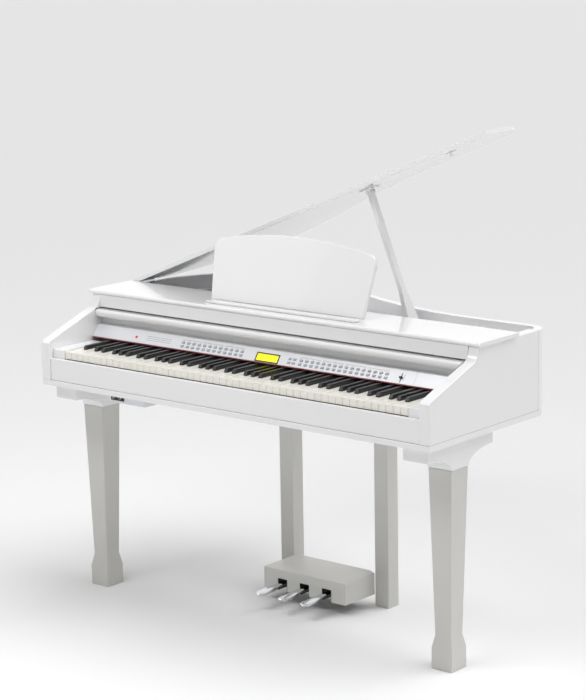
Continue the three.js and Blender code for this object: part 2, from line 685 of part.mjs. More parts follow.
function deskLedge() {
  const half = 12;
  const front = 250;
  const outline = new THREE.Shape();
  outline.absarc(deskHalfFoot - half, front, half, -Math.PI / 2, Math.PI / 2, false);
  outline.absarc(-deskHalfFoot + half, front, half, Math.PI / 2, Math.PI * 1.5, false);
  const top = lidUnderside + topThick;
  return slab(outline, top + gap, top + 7);
}
mesh('desk_ledge', deskLedge(), lacquer, cabinet);

// ---------------------------------------------------------------- legs and pedals

function leg(x) {
  const legTop = bracketFoot - gap;
  const profile = [[0, 0], [33.2, 0], [33.2, 58], [26, 93], [legHalf, legTop], [0, legTop]]
    .map(([half, z]) => new THREE.Vector2(half * Math.SQRT2, z));
  return new THREE.LatheGeometry(profile, 4)
    .rotateX(Math.PI / 2).rotateZ(Math.PI / 4).translate(x, legY, 0);
}

/** The block between leg and cabinet, hollowed by a cove in front and behind. */
function bracket(x) {
  const drop = bracketEdge - bracketFoot;
  const front = legY - legHalf;
  const back = legY + legHalf;
  const profile = new THREE.Shape();
  profile.moveTo(bracketFront, bottomLevel - gap);
  profile.lineTo(bracketFront, bracketEdge);
  profile.absellipse(bracketFront, bracketFoot, front - bracketFront, drop, Math.PI / 2, 0, true);
  profile.lineTo(back, bracketFoot);
  profile.absellipse(bracketBack, bracketFoot, bracketBack - back, drop, Math.PI, Math.PI / 2, true);
  profile.lineTo(bracketBack, bottomLevel - gap);
  return across(profile, x - bracketWidth / 2, x + bracketWidth / 2);
}

for (const [word, side] of [['left', -1], ['right', 1]]) {
  mesh(`${word}_leg`, leg(side * legX), lacquer, cabinet);
  mesh(`${word}_bracket`, bracket(side * legX), lacquer, cabinet);
  mesh(`${word}_post`, box(
    side * postX - postSide / 2, side * postX + postSide / 2,
    postFront, postFront + postSide, 0, bottomLevel - gap), lacquer, cabinet);
}

const pedalsX = [-pedalPitch, 0, pedalPitch];

function pedalBox() {
  const corners = [];
  for (const side of [-1, 1]) {
    for (const z of [boxBottom, boxShoulder]) {
      corners.push([side * boxHalf, boxFront, z], [side * boxHalf, boxBack, z]);
    }
    corners.push([side * (boxHalf - 18), boxFront + 30, boxTop], [side * (boxHalf - 18), boxBack, boxTop]);
  }
  const outer = new ConvexGeometry(corners.map(([x, y, z]) => new THREE.Vector3(x, y, z)));
  const hollow = box(
    -boxHalf + boxWall, boxHalf - boxWall, boxFront + boxWall, boxBack - boxWall,
    boxBottom - 1, boxShoulder - boxWall + 4);
  const slots = pedalsX.map((x) => box(
    x - pedalSlotHalf, x + pedalSlotHalf, boxFront - 1, boxFront + boxWall + 1, boxBottom - 1, pedalSlotTop));
  return cut(outer, hollow, ...slots);
}
mesh('pedal_box', pedalBox(), lacquer, cabinet);
mesh('pedal_axle', rodAlongX(
  5, -boxHalf + boxWall + gap, boxHalf - boxWall - gap, pedalAxle[0], pedalAxle[1]), steel, cabinet);

function pedal(x) {
  const tipRadius = 15;
  const neck = 11;
  const outline = new THREE.Shape();
  outline.moveTo(x + neck, pedalAxle[0]);
  outline.lineTo(x - neck, pedalAxle[0]);
  outline.lineTo(x - neck, boxFront - 12);
  outline.lineTo(x - tipRadius, pedalTip + tipRadius + 8);
  outline.absarc(x, pedalTip + tipRadius, tipRadius, Math.PI, Math.PI * 2, false);
  outline.lineTo(x + tipRadius, pedalTip + tipRadius + 8);
  outline.lineTo(x + neck, boxFront - 12);
  return cut(
    joined(
      slab(outline, pedalAxle[1] - 4, pedalAxle[1] + 4),
      rodAlongX(9, x - neck, x + neck, pedalAxle[0], pedalAxle[1])),
    rodAlongX(5.5, x - neck - 1, x + neck + 1, pedalAxle[0], pedalAxle[1]));
}
['left_pedal', 'middle_pedal', 'right_pedal'].forEach((name, i) => {
  mesh(name, pedal(pedalsX[i]), chrome, cabinet);
});

// ---------------------------------------------------------------- inside and under the cabinet

function speaker(x) {
  const profile = [
    [0, 2], [20, 0], [60, 0.4], [84, 0.4], [84, 4], [62, 6], [40, 34], [40, 58], [0, 58],
  ].map(([radius, z]) => new THREE.Vector2(radius, z));
  return new THREE.LatheGeometry(profile, 24)
    .rotateX(Math.PI / 2).translate(x, speakerY, bottomTop + gap);
}
mesh('left_speaker', speaker(-speakerX), blackPlastic, cabinet);
mesh('right_speaker', speaker(speakerX), blackPlastic, cabinet);
const boardFeet = [[-160, 310], [100, 310], [-160, 430], [100, 430]];
mesh('main_board', joined(
  box(-170, 110, 300, 440, 660, 663),
  ...boardFeet.map(([x, y]) => rodAlongZ(4, bottomTop + gap, 661, x, y, 8))), circuit, cabinet);
mesh('power_supply', box(150, 290, 320, 440, bottomTop + gap, 690), steel, cabinet);

const socketBox = [-470, -330, 45, 120];
mesh('headphone_box', box(socketBox[0], socketBox[1], socketBox[2], socketBox[3], 597, bottomLevel - gap),
  panelSilver, cabinet);
const sockets = [-448, -422];
const socketHeight = 612;
mesh('headphone_sockets', cut(
  joined(
    box(sockets[0] - 12, sockets[1] + 12, socketBox[2] - 2, socketBox[2] - gap, 604, 620),
    ...sockets.map((x) => rodAlongY(6, socketBox[2] - 4, socketBox[2] - 1, x, socketHeight))),
  ...sockets.map((x) => rodAlongY(3.2, socketBox[2] - 5, socketBox[2] - 1, x, socketHeight))),
blackPlastic, cabinet);
mesh('power_inlet', box(-560, -500, 600, 640, 600, bottomLevel - gap), blackPlastic, cabinet);

export default piano;
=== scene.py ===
# A small white digital grand piano: rounded lacquered boards, single keys, chrome pedals, buttons,
# screws and sockets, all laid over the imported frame. Metres, +X to the player's right, -Y to the player.
import json
import math

import bmesh
import bpy
from mathutils import Matrix, Vector

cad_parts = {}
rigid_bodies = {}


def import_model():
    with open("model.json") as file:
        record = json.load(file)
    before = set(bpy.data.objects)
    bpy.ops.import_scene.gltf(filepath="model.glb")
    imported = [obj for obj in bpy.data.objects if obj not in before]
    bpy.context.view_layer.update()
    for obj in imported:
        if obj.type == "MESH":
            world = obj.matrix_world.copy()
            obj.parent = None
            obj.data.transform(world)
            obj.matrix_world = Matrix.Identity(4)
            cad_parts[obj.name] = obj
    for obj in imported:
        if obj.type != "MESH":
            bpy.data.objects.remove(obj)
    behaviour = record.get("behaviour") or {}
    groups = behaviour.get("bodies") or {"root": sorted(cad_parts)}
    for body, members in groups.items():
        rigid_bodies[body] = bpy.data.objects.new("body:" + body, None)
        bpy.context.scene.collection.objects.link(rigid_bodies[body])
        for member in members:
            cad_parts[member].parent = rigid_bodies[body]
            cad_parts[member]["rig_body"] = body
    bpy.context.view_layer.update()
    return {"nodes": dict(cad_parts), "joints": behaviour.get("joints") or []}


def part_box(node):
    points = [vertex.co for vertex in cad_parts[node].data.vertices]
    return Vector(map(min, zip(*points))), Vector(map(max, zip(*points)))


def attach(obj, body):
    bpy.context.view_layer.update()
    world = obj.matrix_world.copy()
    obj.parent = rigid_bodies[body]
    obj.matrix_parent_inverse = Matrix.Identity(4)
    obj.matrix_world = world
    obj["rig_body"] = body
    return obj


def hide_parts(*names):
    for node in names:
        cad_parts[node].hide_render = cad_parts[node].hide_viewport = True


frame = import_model()
nodes = frame["nodes"]
mm = 0.001
print("frame loaded:", len(nodes), "parts")


# ---- camera, floor and lights

view = {
    "place": (4.033, -4.9405, 2.057),
    "turn": 39.83,  # to the left of straight ahead
    "tilt": -11.33,
    "roll": -0.99,
    "lens": 79.27,
    "shift": (0.0007, -0.0187),
}


def addCamera():
    data = bpy.data.cameras.new("camera")
    data.sensor_fit = "VERTICAL"
    data.sensor_height = 24
    data.lens = view["lens"]
    data.shift_x, data.shift_y = view["shift"]
    data.clip_end = 100
    camera = bpy.data.objects.new("camera", data)
    turn = Matrix.Rotation(math.radians(view["turn"]), 4, "Z")
    tilt = Matrix.Rotation(math.radians(90 + view["tilt"]), 4, "X")
    roll = Matrix.Rotation(math.radians(view["roll"]), 4, "Z")
    camera.matrix_world = Matrix.Translation(view["place"]) @ turn @ tilt @ roll
    bpy.context.scene.collection.objects.link(camera)
    bpy.context.scene.camera = camera


addCamera()

studio = {
    "backdrop": 1.0,  # how bright the paper behind looks, and is mirrored in the gloss
    "skyPower": 0.2,  # how much of it lights the piano
    "floor": "f6f6f6",
    "skylight": ((0.4, 0.3, 1.0), 2.15, 60),  # where it comes from, power and softness in degrees
    # name: place, aim, size across and up, power
    "lamps": {
        "leftWindow": ((-3.6, -2.6, 2.4), (0, 0, 0.7), (2.6, 2.6), 12),
        "rightWindow": ((3.9, 0.6, 1.9), (0, 0, 0.7), (2.2, 2.4), 5),
        "keyboardLamp": ((-0.2, -1.9, 2.9), (0, -0.1, 0.95), (2.0, 0.8), 31),
    },
}


# ---- materials

def linear(hexText):  # an sRGB hex value as linear red, green, blue, alpha
    parts = [int(hexText[i:i + 2], 16) / 255 for i in (0, 2, 4)]
    bent = [c / 12.92 if c <= 0.04045 else ((c + 0.055) / 1.055) ** 2.4 for c in parts]
    return (*bent, 1.0)


def addNode(tree, kind, settings=None, **inputs):
    node = tree.nodes.new(kind)
    for key, value in (settings or {}).items():
        setattr(node, key, value)
    for key, value in inputs.items():
        name = key.replace("_", " ")
        socket = node.inputs[int(key[1:])] if key[0] == "i" and key[1:].isdigit() else node.inputs[name]
        if isinstance(value, bpy.types.NodeSocket):
            tree.links.new(value, socket)
        else:
            socket.default_value = value
    return node


def surface(name, colour, roughness, metallic=0.0, **sockets):
    mat = bpy.data.materials.new(name)
    mat.use_nodes = True
    tree = mat.node_tree
    shader = tree.nodes["Principled BSDF"]
    shader.inputs["Base Color"].default_value = linear(colour)
    shader.inputs["Roughness"].default_value = roughness
    shader.inputs["Metallic"].default_value = metallic
    for key, value in sockets.items():
        shader.inputs[key.replace("_", " ")].default_value = value
    return mat, tree, shader


def grain(tree, size, detail=2.0, stretch=(1, 1, 1)):  # noise with features about this many metres wide
    place = addNode(tree, "ShaderNodeTexCoord").outputs["Object"]
    turned = addNode(tree, "ShaderNodeMapping", Vector=place, Scale=stretch)
    return addNode(
        tree, "ShaderNodeTexNoise", Vector=turned.outputs["Vector"], Scale=1 / size, Detail=detail,
    ).outputs["Fac"]


def spread(tree, value, low, high, start=0.3, end=0.7):  # a 0..1 pattern mapped to low..high
    node = addNode(tree, "ShaderNodeMapRange", Value=value, From_Min=start, From_Max=end)
    node.inputs["To Min"].default_value = low
    node.inputs["To Max"].default_value = high
    return node.outputs["Result"]


def tint(tree, value, dark, light):  # a 0..1 pattern mapped between two colours
    mix = addNode(tree, "ShaderNodeMix", {"data_type": "RGBA"})
    tree.links.new(value, mix.inputs["Factor"])
    mix.inputs[6].default_value = linear(dark)
    mix.inputs[7].default_value = linear(light)
    return mix.outputs[2]


def bump(tree, shader, height, depth, strength=1.0):
    node = addNode(tree, "ShaderNodeBump", Height=height, Distance=depth, Strength=strength)
    tree.links.new(node.outputs["Normal"], shader.inputs["Normal"])
    return node


def polishedLacquer():  # sprayed white polyester, rubbed: a deep clear gloss, faint orange peel
    mat, tree, shader = surface("polished_polyester_lacquer", "eeeef0", 0.32, IOR=1.52, Coat_Weight=1.0,
                                Coat_Roughness=0.03)
    tree.links.new(spread(tree, grain(tree, 0.09), 0.3, 0.34), shader.inputs["Roughness"])
    tree.links.new(tint(tree, grain(tree, 0.4), "efeff0", "f1f1f2"), shader.inputs["Base Color"])
    peel = bump(tree, shader, grain(tree, 4 * mm, 1.0), 0.02 * mm, 0.35)  # peel is about 4 mm across
    tree.links.new(peel.outputs["Normal"], shader.inputs["Coat Normal"])
    return mat


def paintedShadeLacquer():  # sprayed and left satin: a soft shine; its colour, greyer and warmer than the polished case, is painted shade, set to how dark the legs, posts and pedal box look
    mat, tree, shader = surface("satin_lacquer_with_painted_shade", "d2d1cd", 0.34, IOR=1.5)
    tree.links.new(spread(tree, grain(tree, 0.05), 0.3, 0.4), shader.inputs["Roughness"])
    bump(tree, shader, grain(tree, 2.5 * mm), 0.03 * mm, 0.4)
    return mat


def plated(name, colour, low, high):  # nickel and chrome plate, buffed: mirror bright with faint smears
    mat, tree, shader = surface(name, colour, low, 1.0)
    tree.links.new(spread(tree, grain(tree, 0.018), low, high), shader.inputs["Roughness"])
    bump(tree, shader, grain(tree, 12 * mm), 0.04 * mm, 0.3)
    return mat


def brushedSteel():  # rolled steel strip, brushed lengthwise: grit lines 0.3 mm apart, drawn at 0.8 mm
    mat, tree, shader = surface("brushed_steel_strip", "8d9094", 0.36, 1.0)
    lines = grain(tree, 0.8 * mm, 1.0, (0.02, 1, 1))
    tree.links.new(spread(tree, lines, 0.28, 0.46), shader.inputs["Roughness"])
    bump(tree, shader, lines, 0.02 * mm, 0.5)
    return mat


def keyTop():  # moulded acrylic key covering, polished by hands: warm white with a soft shine
    mat, tree, shader = surface("acrylic_key_top", "f3f0e7", 0.2, IOR=1.49, Coat_Weight=0.3,
                                Coat_Roughness=0.08)
    tree.links.new(tint(tree, grain(tree, 0.03), "f0ede3", "f5f3eb"), shader.inputs["Base Color"])
    tree.links.new(spread(tree, grain(tree, 0.02), 0.16, 0.28), shader.inputs["Roughness"])
    return mat


def sharpKey():  # black ABS, fine spark-eroded grain 0.4 mm across, drawn at 0.9 mm
    mat, tree, shader = surface("grained_black_abs", "101113", 0.3, IOR=1.53)
    fine = grain(tree, 0.9 * mm)
    tree.links.new(spread(tree, fine, 0.24, 0.38), shader.inputs["Roughness"])
    bump(tree, shader, fine, 0.03 * mm, 0.5)
    return mat


def silverPaint():  # aluminium-flake paint on moulded ABS: pale, satin, a fine sparkle
    mat, tree, shader = surface("silver_flake_paint", "dfe1e4", 0.36, 0.25, Coat_Weight=0.25,
                                Coat_Roughness=0.15)
    flake = grain(tree, 0.9 * mm, 0.0)
    tree.links.new(tint(tree, flake, "d8dadd", "e9ebee"), shader.inputs["Base Color"])
    tree.links.new(spread(tree, flake, 0.3, 0.44), shader.inputs["Roughness"])
    return mat


def siliconeRubber(name, colour):  # moulded silicone keycap: soft, slightly milky, no hard highlight
    mat, tree, shader = surface(name, colour, 0.5, IOR=1.43, Sheen_Weight=0.15)
    bump(tree, shader, grain(tree, 0.8 * mm), 0.03 * mm, 0.5)
    tree.links.new(spread(tree, grain(tree, 6 * mm), 0.44, 0.58), shader.inputs["Roughness"])
    return mat


def mouldedPlastic(name, colour, roughness):  # injection-moulded ABS with an etched texture
    mat, tree, shader = surface(name, colour, roughness, IOR=1.53)
    fine = grain(tree, 1.1 * mm)
    tree.links.new(spread(tree, fine, roughness - 0.08, roughness + 0.1), shader.inputs["Roughness"])
    bump(tree, shader, fine, 0.05 * mm, 0.6)
    return mat


def pressedFelt():  # wool felt, pressed and dyed: matt with short loose fibres about 1 mm long
    mat, tree, shader = surface("pressed_wool_felt", "a3242c", 0.95, Sheen_Weight=0.6, Sheen_Roughness=0.5)
    fibre = grain(tree, 1.2 * mm, 4.0)
    tree.links.new(tint(tree, fibre, "861820", "bb333c"), shader.inputs["Base Color"])
    bump(tree, shader, fibre, 0.4 * mm, 0.8)
    return mat


def litDisplay():  # yellow backlight behind a clear acrylic window, with cells 0.7 mm wide drawn at 1.6 mm
    mat, tree, shader = surface("backlit_liquid_crystal", "f2e512", 0.3, Coat_Weight=0.25,
                                Coat_Roughness=0.05)
    place = addNode(tree, "ShaderNodeTexCoord").outputs["Object"]
    cells = addNode(tree, "ShaderNodeTexVoronoi", {"distance": "CHEBYCHEV"}, Vector=place,
                    Scale=1 / (1.6 * mm), Randomness=0.0).outputs["Distance"]
    glow = tint(tree, spread(tree, cells, 0.0, 1.0, 0.0, 0.5), "fbf400", "e8e000")
    tree.links.new(glow, shader.inputs["Base Color"])
    tree.links.new(glow, shader.inputs["Emission Color"])
    shader.inputs["Emission Strength"].default_value = 0.55
    return mat


def circuitBoard():  # glass-epoxy board under green solder mask, with copper tracks 1 mm wide
    mat, tree, shader = surface("solder_mask_board", "2f6b45", 0.4, Coat_Weight=0.4)
    tracks = addNode(tree, "ShaderNodeTexBrick", Scale=1 / (12 * mm), Mortar_Size=0.05, i0=addNode(
        tree, "ShaderNodeTexCoord").outputs["Object"])
    tracks.inputs["Color1"].default_value = linear("2c6440")
    tracks.inputs["Color2"].default_value = linear("2f6b45")
    tracks.inputs["Mortar"].default_value = linear("4c8a5c")
    tree.links.new(tracks.outputs["Color"], shader.inputs["Base Color"])
    return mat


def glowing(name, colour, strength):
    mat, tree, shader = surface(name, colour, 0.2, Coat_Weight=0.6, Emission_Strength=strength)
    shader.inputs["Emission Color"].default_value = linear(colour)
    bump(tree, shader, grain(tree, 1 * mm), 0.02 * mm, 0.3)
    return mat


finishes = {
    "white_lacquer": polishedLacquer(),
    "shaded_grey_lacquer": paintedShadeLacquer(),
    "chrome": plated("buffed_chrome_plate", "d9dbde", 0.05, 0.14),
    "steel": brushedSteel(),
    "key_white": keyTop(),
    "key_black": sharpKey(),
    "panel_silver": silverPaint(),
    "button_grey": siliconeRubber("grey_silicone_rubber", "b9bdc3"),
    "power_red": glowing("red_lens_acrylic", "c8202c", 0.5),
    "screen_yellow": litDisplay(),
    "red_felt": pressedFelt(),
    "black_plastic": mouldedPlastic("etched_black_abs", "1a1a1c", 0.5),
    "circuit_board": circuitBoard(),
    "grille_grey": mouldedPlastic("etched_grey_abs", "8e9396", 0.55),
    "print": mouldedPlastic("screen_print_ink", "7c8188", 0.6),
    "cone": mouldedPlastic("coated_paper_cone", "2a2a2c", 0.75),
}
print("materials made:", len(finishes))


# ---- shape helpers

def copyOf(node):  # a part's own shape, welded, with its flat faces made whole
    bm = bmesh.new()
    bm.from_mesh(nodes[node].data)
    bmesh.ops.remove_doubles(bm, verts=bm.verts, dist=0.005 * mm)
    bmesh.ops.dissolve_limit(bm, angle_limit=math.radians(0.4), verts=bm.verts, edges=bm.edges)
    return bm


def roundEdges(bm, width, segments=3, sharperThan=35.0):
    edges = [e for e in bm.edges if e.is_manifold and e.calc_face_angle(0) > math.radians(sharperThan)]
    bmesh.ops.bevel(bm, geom=edges, offset=width, offset_type="OFFSET", affect="EDGES", segments=segments,
                    profile=0.5, clamp_overlap=True, material=-1)


def addBox(bm, low, high, place=None):
    corners = bmesh.ops.create_cube(bm, size=1)["verts"]
    middle = (Vector(low) + Vector(high)) / 2
    size = Vector(high) - Vector(low)
    move = (place or Matrix()) @ Matrix.Translation(middle) @ Matrix.Diagonal((*size, 1))
    bmesh.ops.transform(bm, matrix=move, verts=corners)
    return corners


def addDisc(bm, radius, topRadius, height, place, sides=24):  # a short round boss standing on place
    made = bmesh.ops.create_cone(bm, cap_ends=True, segments=sides, radius1=radius, radius2=topRadius,
                                 depth=height)["verts"]
    bmesh.ops.transform(bm, matrix=place @ Matrix.Translation((0, 0, height / 2)), verts=made)
    return made


def addScrew(bm, place, radius, height=1.0 * mm):  # a domed head with a round socket
    made = addDisc(bm, radius, radius * 0.72, height, place, 20)
    up = (place.to_3x3() @ Vector((0, 0, 1))).normalized()
    top = [f for f in {f for v in made for f in v.link_faces} if f.normal.dot(up) > 0.95]
    bmesh.ops.inset_region(bm, faces=top, thickness=radius * 0.32)
    for face in top:
        bmesh.ops.translate(bm, vec=-up * height * 0.6, verts=face.verts)


def keep(bm, name, finish, body, stands=(), sharp=35.0, weighted=True):
    mesh = bpy.data.meshes.new(name)
    bm.to_mesh(mesh)
    bm.free()
    mesh.materials.append(finishes[finish])
    mesh.shade_smooth()
    mesh.set_sharp_from_angle(angle=math.radians(sharp))
    piece = bpy.data.objects.new(name, mesh)
    bpy.context.scene.collection.objects.link(piece)
    if weighted:
        normals = piece.modifiers.new("flat faces stay flat", "WEIGHTED_NORMAL")
        normals.keep_sharp = True
    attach(piece, body)
    if stands:
        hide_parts(*stands)
    return piece


def bodyOf(node):
    return nodes[node]["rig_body"]


def turned(place, axis, degrees):
    return Matrix.Translation(place) @ Matrix.Rotation(math.radians(degrees), 4, axis)


# ---- boards, legs and lid with their edges rounded

boards = {  # part: (edge radius in mm, smoothing angle)
    "bottom_board": (1.4, 35),
    "left_side_panel": (1.8, 35),
    "right_side_panel": (1.8, 35),
    "rear_rim": (1.4, 35),
    "top_board": (1.2, 35),
    "lid": (2.2, 35),
    "lid_rail": (0.8, 35),
    "inner_panel": (0.6, 35),
    "prop_rest": (0.8, 8),
    "prop_stick": (1.6, 20),
    "key_slip": (1.6, 35),
    "name_board": (0.8, 35),
    "left_key_block": (1.6, 35),
    "right_key_block": (1.6, 35),
    "key_cover": (0.8, 30),
    "panel_shelf": (0.4, 35),
    "music_desk": (3.0, 30),
    "desk_ledge": (1.8, 35),
    "left_leg": (2.0, 8),
    "right_leg": (2.0, 8),
    "left_bracket": (1.4, 20),
    "right_bracket": (1.4, 20),
    "left_post": (1.8, 35),
    "right_post": (1.8, 35),
    "pedal_box": (2.2, 25),
}
# legs, posts and pedal box get the greyer copy of the lacquer: the grey is painted shade
shadedLacquerParts = ("left_leg", "right_leg", "left_post", "right_post", "pedal_box")
for part, (edge, angle) in boards.items():
    shape = copyOf(part)
    roundEdges(shape, edge * mm)
    finish = "shaded_grey_lacquer" if part in shadedLacquerParts else "white_lacquer"
    keep(shape, part + "_lacquered", finish, bodyOf(part), stands=[part], sharp=angle)
print("boards rounded:", len(boards))


# ---- keys

keys = {"whiteEdge": 0.7, "blackEdge": 1.6}

shape = copyOf("white_keys")
roundEdges(shape, keys["whiteEdge"] * mm, 2)
keep(shape, "white_key_tops", "key_white", "white_keys", stands=["white_keys"])
shape = copyOf("black_keys")
roundEdges(shape, keys["blackEdge"] * mm, 3, 25)
keep(shape, "black_key_tops", "key_black", "black_keys", stands=["black_keys"], sharp=30)
shape = copyOf("felt_strip")
roundEdges(shape, 0.7 * mm, 3)
keep(shape, "felt_strip_pressed", "red_felt", "case", stands=["felt_strip"])
print("keys made")


# ---- control panel

panel = {
    "slope": math.degrees(math.atan2(32, 23)),
    "thick": 3.0,
    "screen": (-34, 42, 4, 25),  # left, right, bottom, top, up the slope
    "bezel": 3.2,
    "bezelHigh": 0.9,
    "ink": (0.02, 0.12),  # bottom and top of the printed bars
    "barPast": 6,  # how far a group bar runs past its first and last button
    "groupBar": (30.4, 31.1),
    "tick": 0.7,
    "tickFoot": 28.9,
    "wedgeSteps": 9,
    "noteBars": (12, 18, 24),
    "noteEnds": (-452, -356),
    "lamp": (1.0, 0.7, 0.5),  # radius, top radius and height
    "buttonRows": (10.5, 22),
    "lampRow": 27.4,
    "leftGroups": ((-310, 4), (-230, 4), (-150, 4)),  # first column and how many
    "leftPitch": 20,
    "rightGroups": ((121, 4), (199, 4), (277, 4), (355, 4)),
    "rightPitch": 19.5,
    "power": (-490, 17),
    "volume": (462, 17),
}
lowCorner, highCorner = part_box("control_panel")
slopeTurn = math.radians(panel["slope"])
panelFoot = (0, lowCorner[1], lowCorner[2] + panel["thick"] * mm * math.cos(slopeTurn))
onPanel = turned(panelFoot, "X", panel["slope"])


def panelBox(bm, left, right, low, high, bottom, top):
    return addBox(bm, (left * mm, low * mm, bottom * mm), (right * mm, high * mm, top * mm), onPanel)


for part in ("left_buttons", "cursor_buttons", "right_buttons"):
    shape = copyOf(part)
    roundEdges(shape, 0.8 * mm, 3)
    keep(shape, part + "_moulded", "button_grey", part, stands=[part])


def displayFrame():  # a dark gloss surround, open over the screen
    left, right, low, high = panel["screen"]
    wide = panel["bezel"]
    bm = bmesh.new()
    made = bmesh.ops.create_grid(bm, x_segments=1, y_segments=1, size=0.5)["verts"]
    size = ((right - left + 2 * wide) * mm, (high - low + 2 * wide) * mm, 1, 1)
    middle = ((left + right) / 2 * mm, (low + high) / 2 * mm, 0.15 * mm)
    move = onPanel @ Matrix.Translation(middle) @ Matrix.Diagonal(size)
    bmesh.ops.transform(bm, matrix=move, verts=made)
    face = bm.faces[:]
    bmesh.ops.inset_region(bm, faces=face, thickness=wide * mm, use_boundary=True, use_even_offset=True)
    bmesh.ops.delete(bm, geom=face, context="FACES")
    raised = bmesh.ops.extrude_face_region(bm, geom=bm.faces[:])["geom"]
    up = onPanel.to_3x3() @ Vector((0, 0, panel["bezelHigh"] * mm))
    bmesh.ops.translate(bm, vec=up, verts=[g for g in raised if isinstance(g, bmesh.types.BMVert)])
    bmesh.ops.recalc_face_normals(bm, faces=bm.faces)
    roundEdges(bm, 0.35 * mm, 2)
    keep(bm, "display_frame", "black_plastic", "case")


def panelPrint():  # plain group bars over the buttons, corner ticks and a volume wedge, no lettering
    bm = bmesh.new()
    past, tick = panel["barPast"], panel["tick"]
    barFoot, barTop = panel["groupBar"]
    for first, pitch in (("leftGroups", "leftPitch"), ("rightGroups", "rightPitch")):
        for column, count in panel[first]:
            left = column - past
            right = column + (count - 1) * panel[pitch] + past
            panelBox(bm, left, right, barFoot, barTop, *panel["ink"])
            for end in (left, right - tick):
                panelBox(bm, end, end + tick, panel["tickFoot"], barFoot, *panel["ink"])
            for i in range(count):
                middle = column + i * panel[pitch]
                for row in panel["buttonRows"]:
                    panelBox(bm, middle - 4, middle + 4, row - 4.9, row - 4.3, *panel["ink"])
    wedgeAcross, wedgeUp = panel["volume"]
    for i in range(panel["wedgeSteps"]):
        height = wedgeUp - 9 + i * 2.25
        panelBox(bm, wedgeAcross + 7, wedgeAcross + 8.2 + i * 0.5, height, height + 0.7, *panel["ink"])
    for row in panel["noteBars"]:  # plain bars where the panel carries its printed notes
        panelBox(bm, *panel["noteEnds"], row, row + 0.8, *panel["ink"])
    keep(bm, "panel_print", "print", "case", weighted=False)


def panelLamps():
    bm = bmesh.new()
    for first, pitch in (("leftGroups", "leftPitch"), ("rightGroups", "rightPitch")):
        for column, count in panel[first]:
            for i in range(count):
                spot = ((column + i * panel[pitch]) * mm, panel["lampRow"] * mm, 0)
                addDisc(bm, *(size * mm for size in panel["lamp"]), onPanel @ Matrix.Translation(spot), 12)
    keep(bm, "button_lamps", "power_red", "case")


def powerCap():
    bm = copyOf("power_button")
    roundEdges(bm, 0.8 * mm, 3)
    keep(bm, "power_cap", "power_red", "power_button", stands=["power_button"])


def volumeKnob():
    bm = copyOf("volume_slider")
    roundEdges(bm, 0.5 * mm, 2)
    across, up = panel["volume"]
    for i in (-1.5, 0, 1.5):
        panelBox(bm, across - 4.2, across + 4.2, up + i - 0.25, up + i + 0.25, 4.9, 5.3)
    keep(bm, "volume_grip", "black_plastic", "volume_slider", stands=["volume_slider"])


displayFrame()
panelPrint()
panelLamps()
powerCap()
volumeKnob()
print("control panel dressed")


# ---- pedals

pedal = {
    "rows": 40,
    "columns": 8,
    "thick": 7.0,
    "neck": 10.0,  # half widths
    "spoon": 15.0,
    "crown": 2.2,
    "droop": 7.0,
    "droopFrom": 0.45,  # along the pedal, from 0 at the axle to 1 at the tip
    "droopPower": 1.6,
    "tipFrom": 0.91,
    "hub": 9.0,
    "hubHalf": 11.0,
    "slotHalf": 16.5,  # the three slots in the box
    "slotTop": 71.0,
    "slotDeep": 12.0,
    # how far the dark liners run back past the slot: painted shade inside the box
    "shadeLinerDeep": 55.0,
    "lining": 0.8,
}


def pedalWidth(t):  # half width in mm from the axle, t = 0, to the tip, t = 1
    blend = min(max((t - 0.5) / 0.3, 0), 1)
    blend = blend * blend * (3 - 2 * blend)
    half = pedal["neck"] + (pedal["spoon"] - pedal["neck"]) * blend
    end = max(t - pedal["tipFrom"], 0) / (1 - pedal["tipFrom"])
    return half * math.sqrt(max(1 - end * end, 0.0)) + 0.4


def spoonPedal(part):  # a cast pedal: narrow neck, broad crowned tip that bends down
    low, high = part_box(part)
    middle = (low[0] + high[0]) / 2
    hub, hubHalf = pedal["hub"] * mm, pedal["hubHalf"] * mm
    back = high[1] - hub
    length = back - low[1]
    bendFrom, bendPower = pedal["droopFrom"], pedal["droopPower"]
    bm = bmesh.new()
    bmesh.ops.create_grid(bm, x_segments=pedal["columns"], y_segments=pedal["rows"], size=0.5)
    for v in bm.verts:
        t = 0.5 - v.co.y
        side = v.co.x * 2
        half = pedalWidth(t) * mm
        drop = pedal["droop"] * mm * (max(t - bendFrom, 0) / (1 - bendFrom)) ** bendPower
        crown = pedal["crown"] * mm * (1 - side * side)
        v.co = Vector((middle + side * half, back - t * length, high[2] - pedal["thick"] * mm - drop + crown))
    bmesh.ops.recalc_face_normals(bm, faces=bm.faces)
    if bm.faces[0].normal.z < 0:
        bmesh.ops.reverse_faces(bm, faces=bm.faces)
    bmesh.ops.solidify(bm, geom=bm.faces[:], thickness=pedal["thick"] * mm)
    bmesh.ops.recalc_face_normals(bm, faces=bm.faces)
    roundEdges(bm, 1.2 * mm, 3, 40)
    hubEnd = turned((middle - hubHalf, back, (low[2] + high[2]) / 2), "Y", 90)
    addDisc(bm, hub, hub, 2 * hubHalf, hubEnd, 32)
    keep(bm, part + "_cast", "chrome", part, stands=[part], sharp=50)


